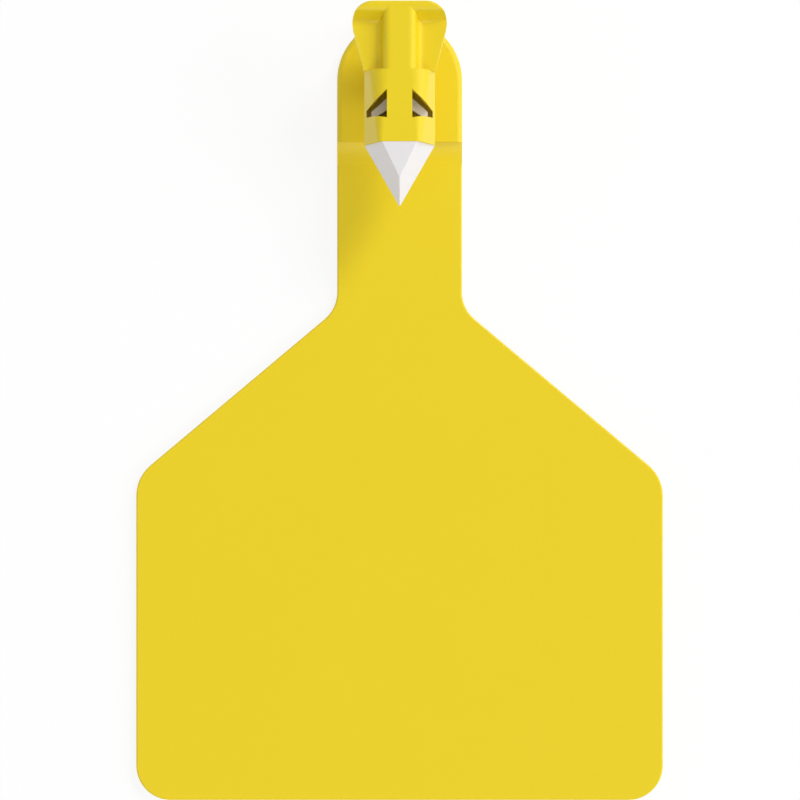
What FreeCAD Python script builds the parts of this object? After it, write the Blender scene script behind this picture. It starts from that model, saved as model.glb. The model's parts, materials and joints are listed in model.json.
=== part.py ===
"""Self-piercing livestock ear tag: one flexible moulding with a hard insert for a point.

Sizes are in millimetres. +X runs across the tag, +Y up the tag from the number panel to the piercing
head, and +Z out of the front face. The flat back lies on z = 0, and the origin is under the middle
of the tag's length and width. The model is drawn with y measured up from the panel's lower edge,
and finish() then moves it to that origin.
"""

import FreeCAD, Part

import math
import os

# Number panel: a flat plate with sloping shoulders.
PANEL_WIDTH = 76.0
PANEL_SIDE_HEIGHT = 46.6
PANEL_THICKNESS = 1.5
PANEL_EDGE_RADIUS = 0.25
PANEL_CORNER_RADIUS = 5.0
SHOULDER_ANGLE = 40.0
SHOULDER_CORNER_RADIUS = 5.8

# Neck: a strap that ends in a half circle round the stem.
NECK_WIDTH = 18.0
NECK_LENGTH = 41.8
NECK_FILLET_RADIUS = 5.0

# Thicker pad on the front of the neck, under the head.
PAD_THICKNESS = 2.8
PAD_BELOW_STEM = 8.9
PAD_STEP = 0.4
PAD_BLEND_LENGTH = 3.2
PAD_EDGE_RADIUS = 0.8

# Stem: the post that passes through the ear and carries the head.
STEM_DIAMETER = 6.0
STEM_FOOT_RADIUS = 1.2
STEM_HEAD_RADIUS = 0.5
EAR_GAP = 6.8

# Piercing head: a barrel with a winged rear end.
HEAD_DEPTH = 8.25
HEAD_BACK_WIDTH = 6.4
HEAD_BACK_BEVEL = 2.4
BARREL_LENGTH = 10.0
BARREL_WIDTH = 9.86
BARREL_FLANK_AT_POINT = 0.3
BARREL_FLANK_AT_WINGS = 1.6
BARREL_FRONT_WIDTH_AT_POINT = 5.8
BARREL_FRONT_WIDTH_AT_WINGS = 7.4
BARREL_EDGE_RADIUS_AT_POINT = 0.8
BARREL_EDGE_RADIUS_AT_WINGS = 2.8
WING_LENGTH = 9.4
WING_SPREAD = 14.8
WING_CORNER_RADIUS = 2.9
WING_EDGE_RADIUS = 0.4

# Scoops: the hollows that leave a rib down the middle of the wings and a rim behind them.
RIB_WIDTH = 4.3
RIM_WIDTH = 1.2
SCOOP_DEPTH = 2.2
SCOOP_FLANK_SLOPE = 78.0
SCOOP_FLANK_EDGE_RADIUS = 1.1
SCOOP_FLANK_FOOT_RADIUS = 0.9
SCOOP_END_SLOPE = 58.0
SCOOP_END_EDGE_RADIUS = 1.0
SCOOP_END_FOOT_RADIUS = 1.2
SCOOP_OUTER_SLOPE = 4.0

# Windows: a pair of triangular holes that the insert's barbs snap into.
WINDOW_SPAN = 9.2
WINDOW_ABOVE_SEAT = 3.3
WINDOW_HEIGHT = 3.9
WINDOW_OUTER_HEIGHT = 0.9
WINDOW_SILL_RISE = 0.4

# Barb chamber: the hollow behind the windows.
CHAMBER_FLOOR = 2.6
CHAMBER_FRONT_WALL = 1.45
CHAMBER_SIDE_WALL = 0.9

# Blind socket for the applicator's pin.
SOCKET_DIAMETER = 3.4
SOCKET_DEPTH = 10.8
SOCKET_LEVEL = 3.4

# Hard insert: a faceted point on a barbed shank.
POINT_LENGTH = 8.75
POINT_FRONT_WIDTH = 4.86
APEX_LEVEL = 4.1
SHANK_WIDTH = 3.5
SHANK_THICKNESS = 4.0
SHANK_LEVEL = 1.8
SHANK_LENGTH = 7.7
SHANK_LEAD = 0.6
SHANK_CLEARANCE = 0.05
BARB_WIDTH = 7.8
BARB_THICKNESS = 1.8
BARB_LEVEL = 3.0
BARB_GAP = 0.8
BARB_CATCH_LENGTH = 0.45
BARB_UNDERCUT = 1.5

# How far a cutting shape runs past the surface that it opens, and a joined one sinks in.
OVERRUN = 1.0
SINK = 0.5

# Places worked out from the sizes above.
SHOULDER_RISE = (PANEL_WIDTH - NECK_WIDTH) / 2.0 * math.tan(math.radians(SHOULDER_ANGLE))
NECK_FOOT = PANEL_SIDE_HEIGHT + SHOULDER_RISE
TAG_LENGTH = NECK_FOOT + NECK_LENGTH
STEM_Y = TAG_LENGTH - NECK_WIDTH / 2.0
PAD_START = STEM_Y - PAD_BELOW_STEM
HEAD_BACK = PAD_THICKNESS + EAR_GAP
HEAD_FRONT = HEAD_BACK + HEAD_DEPTH
HEAD_WIDEST = HEAD_BACK + HEAD_BACK_BEVEL
WING_START = TAG_LENGTH - WING_LENGTH
SEAT_Y = WING_START - BARREL_LENGTH
SHANK_BACK = HEAD_BACK + SHANK_LEVEL
SHANK_FRONT = SHANK_BACK + SHANK_THICKNESS
SHANK_ROOM_END = SEAT_Y + SHANK_LENGTH + SHANK_CLEARANCE
WINDOW_SILL = SEAT_Y + WINDOW_ABOVE_SEAT
WINDOW_INNER = SHANK_WIDTH / 2.0
WINDOW_OUTER = WINDOW_SPAN / 2.0


def plan(u, v):
    """Return the point (u, v) of the plan view, at z = 0."""
    return FreeCAD.Vector(u, v, 0.0)


def section_at(y):
    """Return a function that places (x, z) points in the cross-section at y."""
    return lambda u, v: FreeCAD.Vector(u, y, v)


def side_at(x):
    """Return a function that places (y, z) points in the lengthwise section at x."""
    return lambda u, v: FreeCAD.Vector(x, u, v)


def mirrored(right_half):
    """Complete a symmetric list of corners (u, v, radius) from its right half."""
    return right_half + [(-u, v, radius) for u, v, radius in reversed(right_half)]


def rounding(before, corner, after, radius):
    """Return the start, middle and end of the arc that rounds a corner of two straight lines."""
    back = (before - corner).normalize()
    ahead = (after - corner).normalize()
    half_angle = back.getAngle(ahead) / 2.0
    reach = radius / math.tan(half_angle)
    inward = (back + ahead).normalize()
    middle = corner + inward * (radius / math.sin(half_angle) - radius)
    return corner + back * reach, middle, corner + ahead * reach


def rounded_wire(corners, place):
    """Return a closed wire through corners (u, v, radius), each rounded by its radius."""
    points = [place(u, v) for u, v, _ in corners]
    joints = []
    for i, (_, _, radius) in enumerate(corners):
        if radius > 0.0:
            joints.append(rounding(points[i - 1], points[i], points[(i + 1) % len(points)], radius))
        else:
            joints.append((points[i], None, points[i]))
    edges = []
    for i, (start, middle, end) in enumerate(joints):
        if middle is not None:
            edges.append(Part.Arc(start, middle, end).toShape())
        following = joints[(i + 1) % len(joints)][0]
        if end.distanceToPoint(following) > 1e-6:
            edges.append(Part.LineSegment(end, following).toShape())
    return Part.Wire(edges)


def slab(corners, low, high):
    """Extrude a plan outline of corners from z = low to z = high."""
    face = Part.Face(rounded_wire(corners, plan))
    face.translate(FreeCAD.Vector(0.0, 0.0, low))
    return face.extrude(FreeCAD.Vector(0.0, 0.0, high - low))


def level_edges(shape, levels, joint):
    """Edges that lie level at one of the heights, apart from those across the joint at y."""
    return [
        edge
        for edge in shape.Edges
        if any(max(abs(edge.BoundBox.ZMin - z), abs(edge.BoundBox.ZMax - z)) < 1e-6 for z in levels)
        and max(abs(edge.BoundBox.YMin - joint), abs(edge.BoundBox.YMax - joint)) > 1e-6
    ]


def block(width, y_low, y_high, z_low, z_high):
    """Return a box centred on x = 0."""
    corner = FreeCAD.Vector(-width / 2.0, y_low, z_low)
    return Part.makeBox(width, y_high - y_low, z_high - z_low, corner)


def flipped(shape):
    """Return the mirror image of a shape on the other side of the tag's centre line."""
    return shape.mirror(FreeCAD.Vector(0.0, 0.0, 0.0), FreeCAD.Vector(1.0, 0.0, 0.0))


def plate():
    """Panel, shoulders and lower neck, up to where the pad begins."""
    half = PANEL_WIDTH / 2.0
    body = slab(
        mirrored(
            [
                (half, 0.0, PANEL_CORNER_RADIUS),
                (half, PANEL_SIDE_HEIGHT, SHOULDER_CORNER_RADIUS),
                (NECK_WIDTH / 2.0, NECK_FOOT, NECK_FILLET_RADIUS),
                (NECK_WIDTH / 2.0, PAD_START, 0.0),
            ]
        ),
        0.0,
        PANEL_THICKNESS,
    )
    edges = level_edges(body, (0.0, PANEL_THICKNESS), PAD_START)
    return body.makeFillet(PANEL_EDGE_RADIUS, edges)


def pad():
    """Thicker top of the neck, round-ended, with its front edge rounded."""
    half = NECK_WIDTH / 2.0
    body = slab(mirrored([(half, PAD_START, 0.0), (half, TAG_LENGTH, half)]), 0.0, PAD_THICKNESS)
    body = body.makeFillet(PAD_EDGE_RADIUS, level_edges(body, (PAD_THICKNESS,), PAD_START))
    return body.makeFillet(PANEL_EDGE_RADIUS, level_edges(body, (0.0,), PAD_START))


def pad_blend():
    """Concave ramp that runs from the lower neck up to the step at the pad's end."""
    height = PAD_THICKNESS - PAD_STEP - PANEL_THICKNESS
    foot = PAD_START - PAD_BLEND_LENGTH
    radius = (PAD_BLEND_LENGTH**2 + height**2) / (2.0 * height)
    half_turn = math.atan(height / PAD_BLEND_LENGTH)
    place = side_at(-NECK_WIDTH / 2.0)
    low = place(foot, PANEL_THICKNESS)
    high = place(PAD_START, PANEL_THICKNESS + height)
    middle = place(
        foot + radius * math.sin(half_turn),
        PANEL_THICKNESS + radius * (1.0 - math.cos(half_turn)),
    )
    inner_high = place(PAD_START, PANEL_THICKNESS / 2.0)
    inner_low = place(foot, PANEL_THICKNESS / 2.0)
    edges = [
        Part.Arc(low, middle, high).toShape(),
        Part.LineSegment(high, inner_high).toShape(),
        Part.LineSegment(inner_high, inner_low).toShape(),
        Part.LineSegment(inner_low, low).toShape(),
    ]
    return Part.Face(Part.Wire(edges)).extrude(FreeCAD.Vector(NECK_WIDTH, 0.0, 0.0))


def stem():
    """Round post from the pad to the head's back, flared at both ends."""
    radius = STEM_DIAMETER / 2.0
    place = side_at(0.0)
    foot, top = PAD_THICKNESS, HEAD_BACK
    turned = rounded_wire(
        [
            (0.0, foot - SINK, 0.0),
            (radius + STEM_FOOT_RADIUS, foot - SINK, 0.0),
            (radius + STEM_FOOT_RADIUS, foot, 0.0),
            (radius, foot, STEM_FOOT_RADIUS),
            (radius, top, STEM_HEAD_RADIUS),
            (radius + STEM_HEAD_RADIUS, top, 0.0),
            (radius + STEM_HEAD_RADIUS, top + SINK, 0.0),
            (0.0, top + SINK, 0.0),
        ],
        place,
    )
    post = Part.Face(turned).revolve(FreeCAD.Vector(0, 0, 0), FreeCAD.Vector(0, 0, 1), 360.0)
    post.translate(FreeCAD.Vector(0.0, STEM_Y, 0.0))
    return post


def barrel_corners(front_width, edge_radius, flank):
    """Corners (x, z, radius) of the barrel's section: back flat, upright flank, front flat."""
    return mirrored(
        [
            (HEAD_BACK_WIDTH / 2.0, HEAD_BACK, 0.0),
            (BARREL_WIDTH / 2.0, HEAD_WIDEST, 0.0),
            (BARREL_WIDTH / 2.0, HEAD_WIDEST + flank, 0.0),
            (front_width / 2.0, HEAD_FRONT, edge_radius),
        ]
    )


def barrel():
    """Front part of the head: faceted at the point, and rounder towards the wings."""
    at_point = barrel_corners(
        BARREL_FRONT_WIDTH_AT_POINT, BARREL_EDGE_RADIUS_AT_POINT, BARREL_FLANK_AT_POINT
    )
    at_wings = barrel_corners(
        BARREL_FRONT_WIDTH_AT_WINGS, BARREL_EDGE_RADIUS_AT_WINGS, BARREL_FLANK_AT_WINGS
    )
    wires = [
        rounded_wire(at_point, section_at(SEAT_Y)),
        rounded_wire(at_wings, section_at(WING_START)),
    ]
    return Part.makeLoft(wires, True, True)


def wing_outline(inset):
    """Plan outline of the winged end, drawn in by an inset, with its lower end left in place."""
    return mirrored(
        [
            (BARREL_WIDTH / 2.0 - inset, WING_START, 0.0),
            (WING_SPREAD / 2.0 - inset, TAG_LENGTH - inset, WING_CORNER_RADIUS - inset),
        ]
    )


def wings():
    """Flared rear end of the head, with its back edges bevelled like the barrel's."""
    inset = (BARREL_WIDTH - HEAD_BACK_WIDTH) / 2.0
    back = rounded_wire(wing_outline(inset), plan)
    back.translate(FreeCAD.Vector(0.0, 0.0, HEAD_BACK))
    widest = rounded_wire(wing_outline(0.0), plan)
    widest.translate(FreeCAD.Vector(0.0, 0.0, HEAD_WIDEST))
    bevel = Part.makeLoft([back, widest], True, True)
    front = slab(wing_outline(0.0), HEAD_WIDEST, HEAD_FRONT)
    edges = level_edges(front, (HEAD_FRONT,), WING_START)
    return front.makeFillet(WING_EDGE_RADIUS, edges).fuse(bevel)


def scoop_profile(slope, edge_radius, foot_radius):
    """Corners (u, z, radius) of a scoop's side, from the untouched front at u = 0 to its bottom."""
    run = SCOOP_DEPTH / math.tan(math.radians(slope))
    return [
        (-OVERRUN, HEAD_FRONT + OVERRUN, 0.0),
        (-OVERRUN, HEAD_FRONT, 0.0),
        (0.0, HEAD_FRONT, edge_radius),
        (run, HEAD_FRONT - SCOOP_DEPTH, foot_radius),
    ]


def scoop():
    """Cutter for the right-hand scoop: the rib's flank crossed with the rim's flank."""
    far = WING_SPREAD / 2.0 + OVERRUN
    rib_side = RIB_WIDTH / 2.0
    rise = (far - rib_side) * math.tan(math.radians(SCOOP_OUTER_SLOPE))
    profile = scoop_profile(
        SCOOP_FLANK_SLOPE, SCOOP_FLANK_EDGE_RADIUS, SCOOP_FLANK_FOOT_RADIUS
    )
    across = [(rib_side + u, z, radius) for u, z, radius in profile]
    across.append((far, HEAD_FRONT - SCOOP_DEPTH + rise, 0.0))
    across.append((far, HEAD_FRONT + OVERRUN, 0.0))
    rim = TAG_LENGTH - RIM_WIDTH
    profile = scoop_profile(SCOOP_END_SLOPE, SCOOP_END_EDGE_RADIUS, SCOOP_END_FOOT_RADIUS)
    along = [(rim - u, z, radius) for u, z, radius in profile]
    along.append((WING_START, HEAD_FRONT - SCOOP_DEPTH, 0.0))
    along.append((WING_START, HEAD_FRONT + OVERRUN, 0.0))
    flank = Part.Face(rounded_wire(across, section_at(WING_START)))
    end = Part.Face(rounded_wire(along, side_at(0.0)))
    return flank.extrude(FreeCAD.Vector(0.0, WING_LENGTH, 0.0)).common(
        end.extrude(FreeCAD.Vector(far, 0.0, 0.0))
    )


def sill(x):
    """Height y of a window's lower edge at a distance x from the centre line."""
    return WINDOW_SILL + WINDOW_SILL_RISE * (x - WINDOW_INNER) / (WINDOW_OUTER - WINDOW_INNER)


def window():
    """Cutter for the right-hand window, from the front down to the chamber's floor."""
    corners = [
        (WINDOW_INNER, sill(WINDOW_INNER), 0.0),
        (WINDOW_OUTER, sill(WINDOW_OUTER), 0.0),
        (WINDOW_OUTER, sill(WINDOW_OUTER) + WINDOW_OUTER_HEIGHT, 0.0),
        (WINDOW_INNER, sill(WINDOW_INNER) + WINDOW_HEIGHT, 0.0),
    ]
    return slab(corners, HEAD_BACK + CHAMBER_FLOOR, HEAD_FRONT + OVERRUN)


def barb_chamber():
    """Cutter for the hollow behind the windows, which narrows with the barrel's sides."""
    low, high = HEAD_BACK + CHAMBER_FLOOR, HEAD_FRONT - CHAMBER_FRONT_WALL
    across = mirrored(
        [
            (BARREL_WIDTH / 2.0 - CHAMBER_SIDE_WALL, low, 0.0),
            (BARREL_FRONT_WIDTH_AT_POINT / 2.0, high, 0.0),
        ]
    )
    outline = mirrored(
        [
            (WINDOW_INNER, sill(WINDOW_INNER), 0.0),
            (WINDOW_OUTER, sill(WINDOW_OUTER), 0.0),
            (WINDOW_OUTER, SHANK_ROOM_END, 0.0),
        ]
    )
    tunnel = Part.Face(rounded_wire(across, section_at(SEAT_Y)))
    tunnel = tunnel.extrude(FreeCAD.Vector(0.0, BARREL_LENGTH, 0.0))
    return tunnel.common(slab(outline, HEAD_BACK, HEAD_FRONT))


def shank_pocket():
    """Room for the insert's shank, a clearance larger than it all round."""
    return block(
        SHANK_WIDTH + 2.0 * SHANK_CLEARANCE,
        SEAT_Y - OVERRUN,
        SHANK_ROOM_END,
        SHANK_BACK - SHANK_CLEARANCE,
        SHANK_FRONT + SHANK_CLEARANCE,
    )


def pin_socket():
    """Blind round hole from the head's rear end, for the applicator's pin."""
    mouth = FreeCAD.Vector(0.0, TAG_LENGTH - SOCKET_DEPTH, HEAD_BACK + SOCKET_LEVEL)
    length = SOCKET_DEPTH + OVERRUN
    return Part.makeCylinder(SOCKET_DIAMETER / 2.0, length, mouth, FreeCAD.Vector(0, 1, 0))


def head():
    """Barrel and wings, with the scoops, windows, chamber, pocket and pin socket cut out."""
    pairs = [scoop(), flipped(scoop()), window(), flipped(window())]
    middle = [barb_chamber(), shank_pocket(), pin_socket()]
    return barrel().fuse(wings()).removeSplitter().cut(pairs + middle)


def tag_body():
    """The whole flexible moulding."""
    return plate().fuse([pad_blend(), pad(), stem(), head()]).removeSplitter()


def point():
    """Faceted point: its base sits on the barrel's end, and its front narrows to a ridge."""
    seat = section_at(SEAT_Y)
    half_front = POINT_FRONT_WIDTH / 2.0
    half_back = HEAD_BACK_WIDTH / 2.0
    half_wide = BARREL_WIDTH / 2.0
    front_right, front_left = seat(half_front, HEAD_FRONT), seat(-half_front, HEAD_FRONT)
    wide_right, wide_left = seat(half_wide, HEAD_WIDEST), seat(-half_wide, HEAD_WIDEST)
    back_right, back_left = seat(half_back, HEAD_BACK), seat(-half_back, HEAD_BACK)
    apex = FreeCAD.Vector(0.0, SEAT_Y - POINT_LENGTH, HEAD_BACK + APEX_LEVEL)
    # The ridge starts where the two flanks, flat from the base to the apex, meet the front face.
    normal = (wide_right - front_right).cross(apex - front_right)
    ridge = FreeCAD.Vector(0.0, SEAT_Y + half_front * normal.x / normal.y, HEAD_FRONT)
    loops = [
        [front_left, front_right, wide_right, back_right, back_left, wide_left],
        [front_left, front_right, ridge],
        [front_right, wide_right, apex, ridge],
        [front_left, wide_left, apex, ridge],
        [wide_right, back_right, apex],
        [wide_left, back_left, apex],
        [back_right, back_left, apex],
    ]
    faces = [Part.Face(Part.makePolygon(loop + loop[:1])) for loop in loops]
    return Part.Solid(Part.Shell(faces))


def shank():
    """Square shank that fills the head's pocket, with its inner end chamfered for a lead."""
    body = block(SHANK_WIDTH, SEAT_Y - SINK, SEAT_Y + SHANK_LENGTH, SHANK_BACK, SHANK_FRONT)
    far = [edge for edge in body.Edges if edge.BoundBox.YMin > SEAT_Y + SHANK_LENGTH - 1e-6]
    return body.makeChamfer(SHANK_LEAD, far)


def barb():
    """Right-hand barb: a ramp that follows the window's slope, and a catch on the window's sill."""
    root = SHANK_WIDTH / 2.0 - SINK
    outer = BARB_WIDTH / 2.0
    catch = outer - BARB_CATCH_LENGTH
    fall = WINDOW_HEIGHT - WINDOW_OUTER_HEIGHT - WINDOW_SILL_RISE
    slope = fall / (WINDOW_OUTER - WINDOW_INNER)
    ramp_root = WINDOW_SILL + WINDOW_HEIGHT - BARB_GAP + (WINDOW_INNER - root) * slope
    corners = [
        (root, sill(catch) + BARB_UNDERCUT, 0.0),
        (catch, sill(catch), 0.0),
        (outer, sill(outer), 0.0),
        (outer, ramp_root - (outer - root) * slope, 0.0),
        (root, ramp_root, 0.0),
    ]
    low = HEAD_BACK + BARB_LEVEL
    return slab(corners, low, low + BARB_THICKNESS)


def piercing_tip():
    """The whole hard insert."""
    return point().fuse([shank(), barb(), flipped(barb())]).removeSplitter()


def finish(shape, name):
    """Move a piece from drawing coordinates to the tag's origin and write its STEP file."""
    solid = shape.Solids[0] if len(shape.Solids) == 1 else shape
    solid.translate(FreeCAD.Vector(0.0, -TAG_LENGTH / 2.0, 0.0))
    solid.exportStep(f"parts/{name}.step")


os.makedirs("parts", exist_ok=True)
finish(tag_body(), "tag_body")
finish(piercing_tip(), "piercing_tip")
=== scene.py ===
"""Livestock ear tag: finishes the two mouldings of the frame and sets up the studio around them.

The flag with its neck and head is one flexible moulding, and the hard point is a second one that is
pressed into the head. The tag lies on its flat back, and the camera looks straight down on it.
"""

import json
import logging
import math
from dataclasses import dataclass, field
from enum import Enum
from typing import Any

import bpy
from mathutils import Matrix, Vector

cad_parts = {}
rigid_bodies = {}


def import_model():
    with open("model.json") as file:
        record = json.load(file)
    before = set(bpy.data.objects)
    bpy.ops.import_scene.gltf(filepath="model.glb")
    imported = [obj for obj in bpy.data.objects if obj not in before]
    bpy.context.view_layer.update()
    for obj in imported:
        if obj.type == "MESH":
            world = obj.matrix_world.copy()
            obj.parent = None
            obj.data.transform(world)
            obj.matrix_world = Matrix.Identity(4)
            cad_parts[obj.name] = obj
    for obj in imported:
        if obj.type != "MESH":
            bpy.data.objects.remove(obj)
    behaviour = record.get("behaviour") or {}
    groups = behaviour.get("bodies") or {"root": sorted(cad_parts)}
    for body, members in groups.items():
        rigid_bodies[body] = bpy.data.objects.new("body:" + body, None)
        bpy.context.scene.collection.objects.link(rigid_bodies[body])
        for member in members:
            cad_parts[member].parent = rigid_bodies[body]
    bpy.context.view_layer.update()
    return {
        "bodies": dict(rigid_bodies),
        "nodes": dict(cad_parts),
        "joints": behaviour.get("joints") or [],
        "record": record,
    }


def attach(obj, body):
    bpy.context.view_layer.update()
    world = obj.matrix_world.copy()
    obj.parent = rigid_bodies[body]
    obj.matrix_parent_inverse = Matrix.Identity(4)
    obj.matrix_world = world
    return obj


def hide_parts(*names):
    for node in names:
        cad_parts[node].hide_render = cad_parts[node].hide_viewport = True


LOG = logging.getLogger("ear_tag")
MM = 0.001

# Sockets of a Mix node that mixes colours, by their number.
MIX_FACTOR, MIX_FIRST, MIX_SECOND = 0, 6, 7
MIX_RESULT = 2

# Nearly all of a noise's values lie between these two.
NOISE_LOW, NOISE_HIGH = 0.3, 0.7

Colour = tuple[float, float, float, float]


class Body(Enum):
    """Bodies of the frame that a piece can ride on."""

    ROOT = "root"


class Slot(Enum):
    """Material slots of the record, named beside each piece in the log."""

    FLEXIBLE_YELLOW = "flexible_yellow"
    HARD_WHITE = "hard_white"


def linear(hex_colour: str) -> Colour:
    """Turns an sRGB hex value into linear light.

    Args:
        hex_colour: Six hex digits, with or without a leading hash.

    Returns:
        Red, green, blue and an alpha of 1.
    """
    digits = hex_colour.lstrip("#")
    levels = [int(digits[i : i + 2], 16) / 255 for i in (0, 2, 4)]
    red, green, blue = (
        v / 12.92 if v <= 0.04045 else ((v + 0.055) / 1.055) ** 2.4 for v in levels
    )
    return red, green, blue, 1.0


def add_node(
    tree: bpy.types.NodeTree,
    kind: str,
    settings: dict[str, Any] | None = None,
    inputs: dict[str | int, Any] | None = None,
) -> bpy.types.Node:
    """Adds a node to a tree, with its settings and what feeds it.

    Args:
        tree: Node tree that gets the node.
        kind: Blender's name for the kind of node.
        settings: Properties of the node by name.
        inputs: Values or output sockets by the name or number of the input.

    Returns:
        The new node.
    """
    node = tree.nodes.new(kind)
    for name, value in (settings or {}).items():
        setattr(node, name, value)
    for name, value in (inputs or {}).items():
        if isinstance(value, bpy.types.NodeSocket):
            tree.links.new(value, node.inputs[name])
        else:
            node.inputs[name].default_value = value
    return node


def new_tree(material: bpy.types.Material) -> bpy.types.NodeTree:
    """Empties a material's node tree.

    Args:
        material: Material whose nodes are to be made anew.

    Returns:
        The empty tree.
    """
    material.use_nodes = True
    material.node_tree.nodes.clear()
    return material.node_tree


def select_only(piece: bpy.types.Object) -> None:
    """Deselects everything, then selects one piece and makes it active.

    Args:
        piece: Object that the next operators act on.
    """
    bpy.ops.object.select_all(action="DESELECT")
    piece.select_set(True)
    bpy.context.view_layer.objects.active = piece


@dataclass(frozen=True)
class MouldedPlastic:
    """Injection-moulded plastic, coloured through, with the skin that its steel mould gives it.

    Lengths are in millimetres. The grain is the fine pitting that a spark-eroded mould face leaves,
    and the flow is the slow change in gloss and shade where the melt cooled at different rates.
    """

    name: str
    colour: str
    flow_colour: str
    roughness: float
    roughness_spread: float
    ior: float
    specular_level: float
    subsurface: float
    subsurface_depth: float
    subsurface_tint: tuple[float, float, float]
    grain_size: float
    grain_height: float
    flow_size: float
    grain_layers: float = 2.0
    grain_rough: float = 0.45
    flow_layers: float = 3.0
    flow_rough: float = 0.5

    def material(self) -> bpy.types.Material:
        """Builds the material.

        Returns:
            The material, with patterns on Object coordinates.
        """
        material = bpy.data.materials.new(self.name)
        tree = new_tree(material)
        place = add_node(tree, "ShaderNodeTexCoord").outputs["Object"]
        grain = self.noise(tree, place, self.grain_size, self.grain_layers, self.grain_rough)
        flow = self.noise(tree, place, self.flow_size, self.flow_layers, self.flow_rough)
        shade = add_node(
            tree,
            "ShaderNodeMix",
            {"data_type": "RGBA"},
            {
                MIX_FACTOR: flow,
                MIX_FIRST: linear(self.colour),
                MIX_SECOND: linear(self.flow_colour),
            },
        )
        gloss = add_node(
            tree,
            "ShaderNodeMapRange",
            inputs={
                "Value": flow,
                "From Min": NOISE_LOW,
                "From Max": NOISE_HIGH,
                "To Min": self.roughness - self.roughness_spread,
                "To Max": self.roughness + self.roughness_spread,
            },
        )
        skin = add_node(
            tree,
            "ShaderNodeBump",
            inputs={"Strength": 1.0, "Distance": self.grain_height * MM, "Height": grain},
        )
        shader = add_node(
            tree,
            "ShaderNodeBsdfPrincipled",
            {"subsurface_method": "RANDOM_WALK"},
            {
                "Base Color": shade.outputs[MIX_RESULT],
                "Roughness": gloss.outputs["Result"],
                "IOR": self.ior,
                "Specular IOR Level": self.specular_level,
                "Subsurface Weight": self.subsurface,
                "Subsurface Radius": self.subsurface_tint,
                "Subsurface Scale": self.subsurface_depth * MM,
                "Normal": skin.outputs["Normal"],
            },
        )
        add_node(
            tree,
            "ShaderNodeOutputMaterial",
            inputs={"Surface": shader.outputs["BSDF"]},
        )
        return material

    @staticmethod
    def noise(
        tree: bpy.types.NodeTree,
        place: bpy.types.NodeSocket,
        size: float,
        layers: float,
        rough: float,
    ) -> bpy.types.NodeSocket:
        """Adds a noise whose lumps have a real size.

        Args:
            tree: Node tree that gets the noise.
            place: Coordinates that it reads, in metres.
            size: Distance from lump to lump, in millimetres.
            layers: Number of finer layers on the lumps.
            rough: How strong the finer layers are.

        Returns:
            The noise's height, from 0 to 1.
        """
        node = add_node(
            tree,
            "ShaderNodeTexNoise",
            inputs={
                "Vector": place,
                "Scale": 1.0 / (size * MM),
                "Detail": layers,
                "Roughness": rough,
            },
        )
        return node.outputs[0]


# Polyurethane, injection moulded and pigmented through: the flexible plastic of livestock tags.
# It has a satin skin from a spark-eroded mould, so that highlights are broad, and it lets a little
# light in, which warms its shaded sides. The grain is drawn about twice as coarse as the real
# 0.1 mm.
YELLOW_POLYURETHANE = MouldedPlastic(
    name="yellow_moulded_polyurethane",
    colour="#EDD318",
    flow_colour="#EBD01A",
    roughness=0.40,
    roughness_spread=0.03,
    ior=1.5,
    specular_level=0.35,
    subsurface=0.08,
    subsurface_depth=0.8,
    subsurface_tint=(1.0, 0.75, 0.15),
    grain_size=0.22,
    grain_height=0.003,
    flow_size=18.0,
)

# Nylon, injection moulded in natural white: hard and a little glossier than the polyurethane,
# with a faint milky depth at its thin edges.
WHITE_NYLON = MouldedPlastic(
    name="white_moulded_nylon",
    colour="#E9E6E7",
    flow_colour="#E6E3E4",
    roughness=0.34,
    roughness_spread=0.03,
    ior=1.53,
    specular_level=0.5,
    subsurface=0.10,
    subsurface_depth=0.6,
    subsurface_tint=(1.0, 0.95, 0.9),
    grain_size=0.18,
    grain_height=0.002,
    flow_size=6.0,
)


@dataclass
class Moulding:
    """One moulded part of the tag: its solid, the record's slot for it, and its finish."""

    node: str
    slot: Slot
    finish: MouldedPlastic

    def build(self, frame: dict[str, Any]) -> bpy.types.Object:
        """Dresses the solid itself, whose shape and smooth curves are right as they are.


        Returns:
            The finished piece.
        """
        solid = frame["nodes"][self.node]
        self.dress(solid)
        return solid

    def dress(self, piece: bpy.types.Object) -> None:
        """Gives the piece its material."""
        piece.data.materials.clear()
        piece.data.materials.append(self.finish.material())


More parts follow.
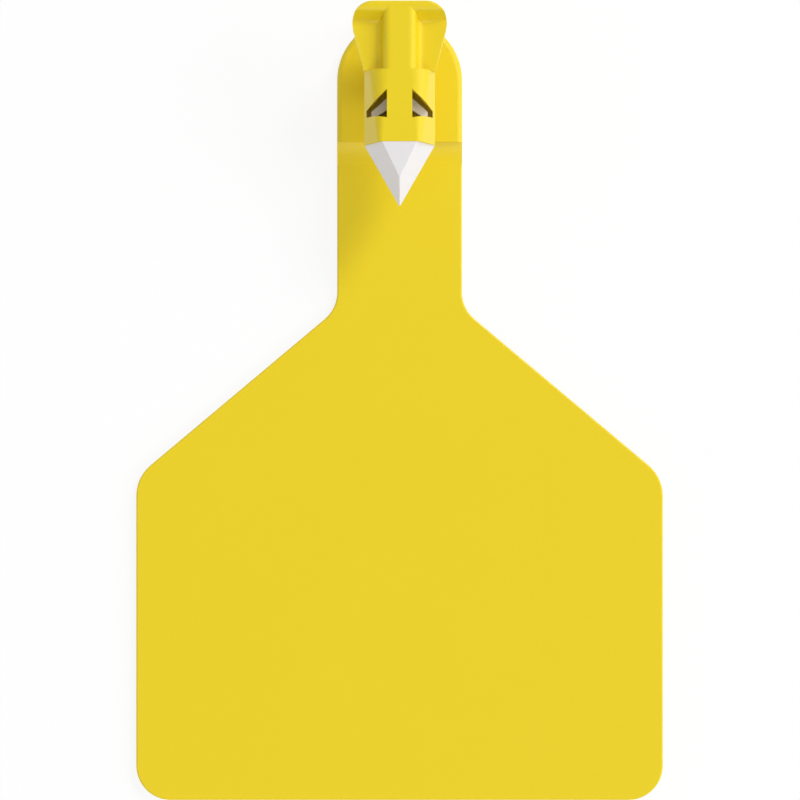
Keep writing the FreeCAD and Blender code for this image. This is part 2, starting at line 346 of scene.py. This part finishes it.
@dataclass
class PiercingPoint(Moulding):
    """The hard point, with the small edge radius of its mould. Lengths are in millimetres."""

    piece_name: str = "piercing_point"
    edge_radius: float = 0.07
    edge_segments: int = 3
    sharp_angle: float = 12.0
    flat_angle: float = 0.2
    weld: float = 0.0005

    def build(self, frame: dict[str, Any]) -> bpy.types.Object:
        """Makes the point from a copy of its solid, which it stands for.


        Returns:
            The finished piece.
        """
        mesh = frame["nodes"][self.node].data.copy()
        mesh.name = self.piece_name
        piece = bpy.data.objects.new(self.piece_name, mesh)
        bpy.context.scene.collection.objects.link(piece)
        self.clean_faces(piece)
        self.round_edges(piece)
        self.dress(piece)
        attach(piece, Body.ROOT.value)
        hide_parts(self.node)
        return piece

    def clean_faces(self, piece: bpy.types.Object) -> None:
        """Welds the loose triangles and joins those that lie in one plane.

        Args:
            piece: Copy of the solid.
        """
        select_only(piece)
        bpy.ops.mesh.customdata_custom_splitnormals_clear()
        bpy.ops.object.mode_set(mode="EDIT")
        bpy.ops.mesh.select_all(action="SELECT")
        bpy.ops.mesh.remove_doubles(threshold=self.weld * MM)
        bpy.ops.mesh.dissolve_limited(angle_limit=math.radians(self.flat_angle))
        bpy.ops.object.mode_set(mode="OBJECT")

    def round_edges(self, piece: bpy.types.Object) -> None:
        """Gives every edge between two flats the small radius of the mould.

        Args:
            piece: Welded copy of the solid.
        """
        select_only(piece)
        bpy.ops.object.modifier_add(type="BEVEL")
        bevel = piece.modifiers[-1]
        bevel.width = self.edge_radius * MM
        bevel.segments = self.edge_segments
        bevel.limit_method = "ANGLE"
        bevel.angle_limit = math.radians(self.sharp_angle)
        bevel.use_clamp_overlap = True
        bevel.harden_normals = True
        bpy.ops.object.modifier_apply(modifier=bevel.name)


@dataclass(frozen=True)
class Lamp:
    """A round soft lamp. Its share is how much of a level white face's brightness it gives."""

    name: str
    direction: tuple[float, float, float]
    share: float
    distance: float
    width: float

    def hang(self, aim: Vector) -> None:
        """Hangs the lamp.

        Args:
            aim: Point that it shines on.
        """
        direction = Vector(self.direction).normalized()
        data = bpy.data.lights.new(self.name, "AREA")
        data.shape = "DISK"
        data.size = self.width
        # A white face that looks at a far round lamp of power P shines with P / (pi * distance)^2.
        data.energy = self.share / direction.z * (math.pi * self.distance) ** 2
        lamp = bpy.data.objects.new(self.name, data)
        lamp.location = aim + direction * self.distance
        lamp.rotation_euler = (-direction).to_track_quat("-Z", "Y").to_euler()
        bpy.context.scene.collection.objects.link(lamp)


@dataclass
class Studio:
    """Plain pale floor, soft light and the camera.

    Lengths are in metres, but for the camera's lens and sensor, which are in millimetres. Its shift
    is a share of the view's width.
    """

    floor_size: float = 4.0
    floor_colour: str = "#FFFFFF"
    floor_glow: float = 0.85
    surround: float = 0.49
    lamps: tuple[Lamp, ...] = (
        Lamp(name="key", direction=(0.8, 0.9, 1.0), share=0.24, distance=3.0, width=1.0),
        Lamp(name="side_fill", direction=(0.89, 0.0, 0.45), share=0.13, distance=3.0, width=1.6),
        Lamp(name="foot_fill", direction=(0.15, -0.9, 0.9), share=0.14, distance=3.0, width=1.6),
    )
    camera_height: float = 0.3515
    camera_along: float = 0.001373
    camera_lens: float = 109.2
    camera_shift: float = 0.0005
    camera_sensor: float = 36.0
    camera_nearest: float = 0.01
    aim: Vector = field(default_factory=lambda: Vector((0.0, 0.03, 0.01)))

    def build(self) -> None:
        """Makes the floor, the world, the lamps and the camera."""
        self.lay_floor()
        self.light_surround()
        for lamp in self.lamps:
            lamp.hang(self.aim)
        self.set_camera()

    @staticmethod
    def seen_ray(tree: bpy.types.NodeTree) -> bpy.types.NodeSocket:
        """Adds a switch for rays that show the background: straight, mirrored or through glass.

        Args:
            tree: Node tree that gets the switch.

        Returns:
            A socket that is 1 for those rays and 0 for the others.
        """
        path = add_node(tree, "ShaderNodeLightPath")
        seen = path.outputs["Is Camera Ray"]
        for name in ("Is Glossy Ray", "Is Transmission Ray"):
            both = {0: seen, 1: path.outputs[name]}
            seen = add_node(tree, "ShaderNodeMath", {"operation": "MAXIMUM"}, both).outputs[0]
        return seen

    def lay_floor(self) -> None:
        """Lays the pale floor that the tag rests on, which keeps its shadow."""
        bpy.ops.object.select_all(action="DESELECT")
        bpy.ops.mesh.primitive_plane_add(size=self.floor_size, location=(0.0, 0.0, 0.0))
        floor = bpy.context.active_object
        floor.name = "studio_floor"
        material = bpy.data.materials.new("pale_studio_floor")
        tree = new_tree(material)
        paper = add_node(tree, "ShaderNodeBsdfDiffuse", inputs={"Color": linear(self.floor_colour)})
        glow = add_node(tree, "ShaderNodeEmission", inputs={"Strength": 1.0})
        share = add_node(
            tree,
            "ShaderNodeMath",
            {"operation": "MULTIPLY"},
            {0: self.seen_ray(tree), 1: self.floor_glow},
        )
        both = add_node(
            tree,
            "ShaderNodeMixShader",
            inputs={0: share.outputs[0], 1: paper.outputs[0], 2: glow.outputs[0]},
        )
        add_node(tree, "ShaderNodeOutputMaterial", inputs={"Surface": both.outputs[0]})
        floor.data.materials.append(material)

    def light_surround(self) -> None:
        """Surrounds the tag with even white light, and shows pure white behind it."""
        world = bpy.data.worlds.new("white_surround")
        bpy.context.scene.world = world
        world.use_nodes = True
        tree = world.node_tree
        tree.nodes.clear()
        strength = add_node(
            tree,
            "ShaderNodeMapRange",
            inputs={"Value": self.seen_ray(tree), "To Min": self.surround, "To Max": 1.0},
        )
        background = add_node(
            tree,
            "ShaderNodeBackground",
            inputs={"Color": (1.0, 1.0, 1.0, 1.0), "Strength": strength.outputs["Result"]},
        )
        add_node(tree, "ShaderNodeOutputWorld", inputs={"Surface": background.outputs[0]})

    def set_camera(self) -> None:
        """Sets the camera over the tag, looking straight down, with the head at the top."""
        data = bpy.data.cameras.new("camera")
        data.sensor_width = self.camera_sensor
        data.lens = self.camera_lens
        data.shift_x = self.camera_shift
        data.clip_start = self.camera_nearest
        camera = bpy.data.objects.new("camera", data)
        camera.location = (0.0, self.camera_along, self.camera_height)
        bpy.context.scene.collection.objects.link(camera)
        bpy.context.scene.camera = camera


def clear_scene() -> None:
    """Removes whatever stands in the scene before the frame is loaded."""
    bpy.ops.object.select_all(action="SELECT")
    bpy.ops.object.delete()


def main() -> None:
    """Builds the tag and its studio around the frame."""
    logging.basicConfig(level=logging.INFO, format="%(name)s: %(message)s")
    clear_scene()
    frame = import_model()
    bpy.context.scene.view_settings.view_transform = "Standard"
    mouldings = (
        Moulding("tag_body", Slot.FLEXIBLE_YELLOW, YELLOW_POLYURETHANE),
        PiercingPoint("piercing_tip", Slot.HARD_WHITE, WHITE_NYLON),
    )
    for moulding in mouldings:
        piece = moulding.build(frame)
        faces = len(piece.data.polygons)
        LOG.info("%s: %d faces, slot %s", piece.name, faces, moulding.slot.value)
    Studio().build()


if __name__ == "__main__":
    main()
